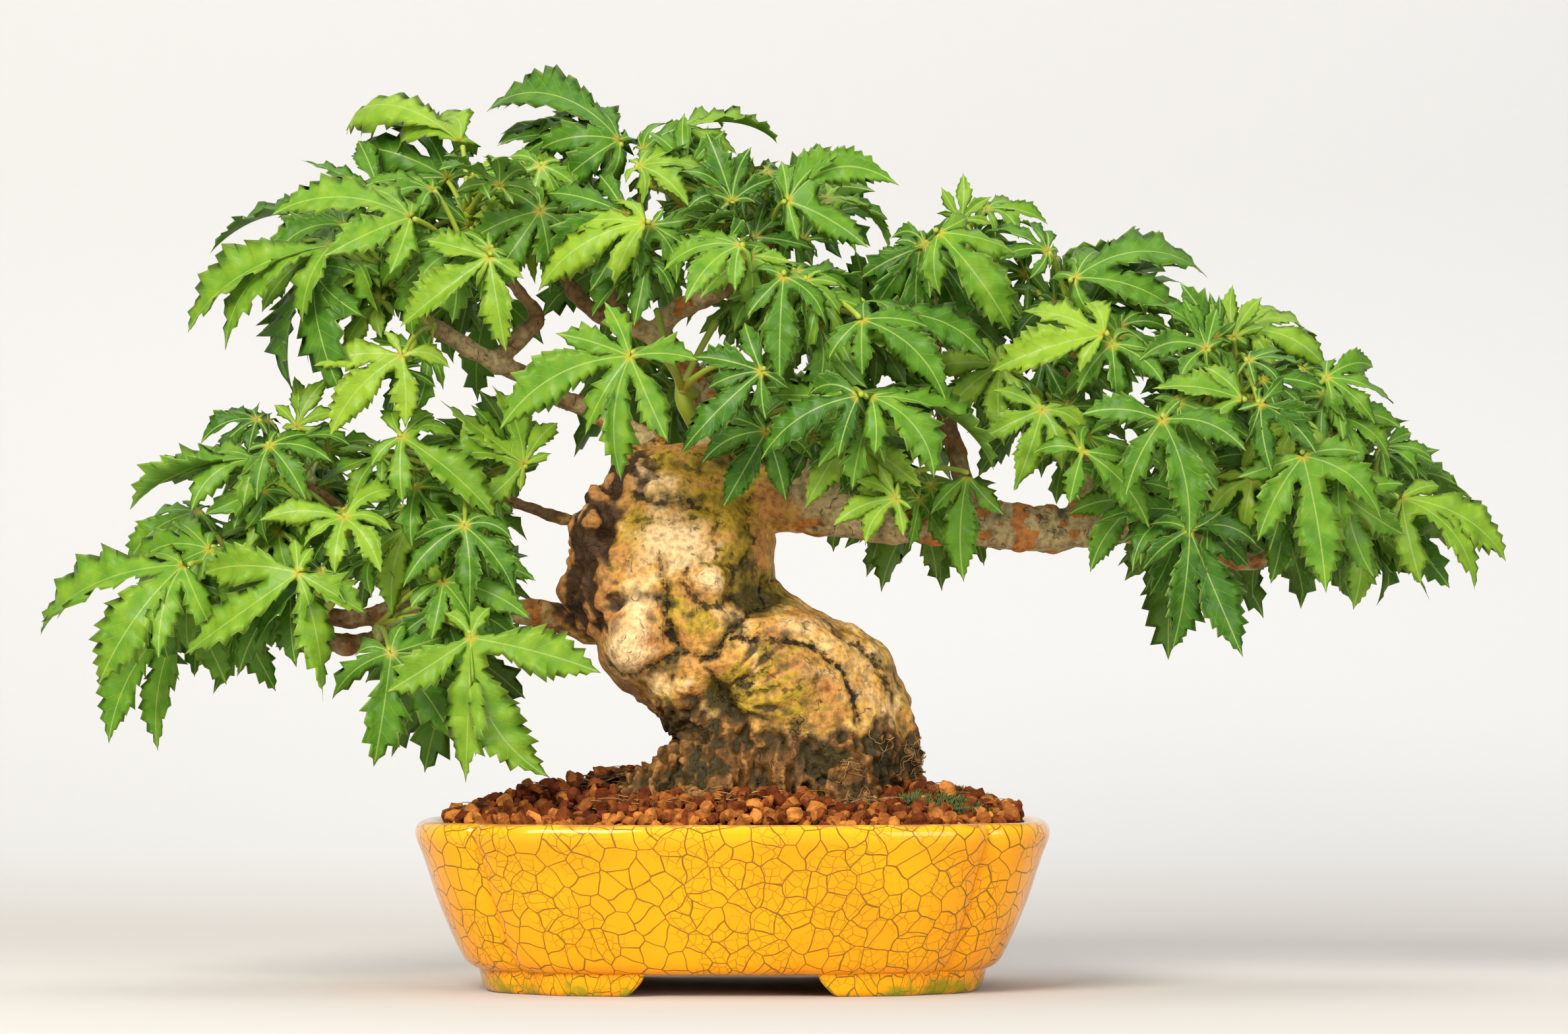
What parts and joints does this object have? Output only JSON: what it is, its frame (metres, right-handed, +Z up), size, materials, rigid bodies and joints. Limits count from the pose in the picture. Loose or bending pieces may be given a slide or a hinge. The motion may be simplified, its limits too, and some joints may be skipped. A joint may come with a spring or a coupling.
{
  "type": "potted bonsai tree",
  "caption": "Potted maple bonsai with a stout twisted bole, long side boughs, curled lobed leaves and a shallow footed glazed pot.",
  "frame": {"origin": "middle of the footprint of the whole tree and pot, on the surface that the pot's feet stand on", "axes": "+X along the pot and the long right bough, -Y to the front of the tree, +Z up"},
  "size_m": [0.3484, 0.1214, 0.2115],
  "materials": {
    "glazed_stoneware": "glossy amber glaze with brown crackle",
    "screen_plastic": "moulded mesh",
    "clay_granules": "dry clay granules",
    "moss": "soft living moss",
    "bark": "rough bark with old cracks",
    "green_stalk": "smooth green stalk",
    "leaf": "satin leaf with pale veins"
  },
  "bodies": {
    "root": {"cut_leaf_stalks": "green_stalk", "drain_screen_left": "screen_plastic", "drain_screen_right": "screen_plastic", "moss_back_left": "moss", "moss_front_right": "moss", "moss_right": "moss", "pot": "glazed_stoneware", "soil_bed": "clay_granules", "spray_crown_1": "leaf", "spray_crown_2": "leaf", "spray_crown_2_far": "leaf", "spray_crown_3": "leaf", "spray_crown_3_far": "leaf", "spray_crown_4": "leaf", "spray_crown_4_far": "leaf", "spray_crown_5": "leaf", "spray_crown_5_far": "leaf", "spray_crown_6": "leaf", "spray_crown_6_far": "leaf", "spray_crown_7": "leaf", "spray_crown_7_far": "leaf", "spray_low_left_1": "leaf", "spray_low_left_2": "leaf", "spray_low_left_3": "leaf", "spray_low_left_3_far": "leaf", "spray_low_left_4": "leaf", "spray_low_left_4_far": "leaf", "spray_low_left_5": "leaf", "spray_low_left_5_far": "leaf", "spray_low_left_6": "leaf", "spray_low_left_6_far": "leaf", "spray_right_1": "leaf", "spray_right_10": "leaf", "spray_right_10_far": "leaf", "spray_right_11": "leaf", "spray_right_11_far": "leaf", "spray_right_1_far": "leaf", "spray_right_2": "leaf", "spray_right_2_far": "leaf", "spray_right_3": "leaf", "spray_right_3_far": "leaf", "spray_right_4": "leaf", "spray_right_4_far": "leaf", "spray_right_5": "leaf", "spray_right_5_far": "leaf", "spray_right_6": "leaf", "spray_right_6_far": "leaf", "spray_right_7": "leaf", "spray_right_7_far": "leaf", "spray_right_8": "leaf", "spray_right_8_far": "leaf", "spray_right_9": "leaf", "spray_right_9_far": "leaf", "spray_upper_left_1": "leaf", "spray_upper_left_2": "leaf", "spray_upper_left_3": "leaf", "spray_upper_left_3_far": "leaf", "spray_upper_left_4": "leaf", "trunk_and_branches": "bark"}
  },
  "joints": []
}
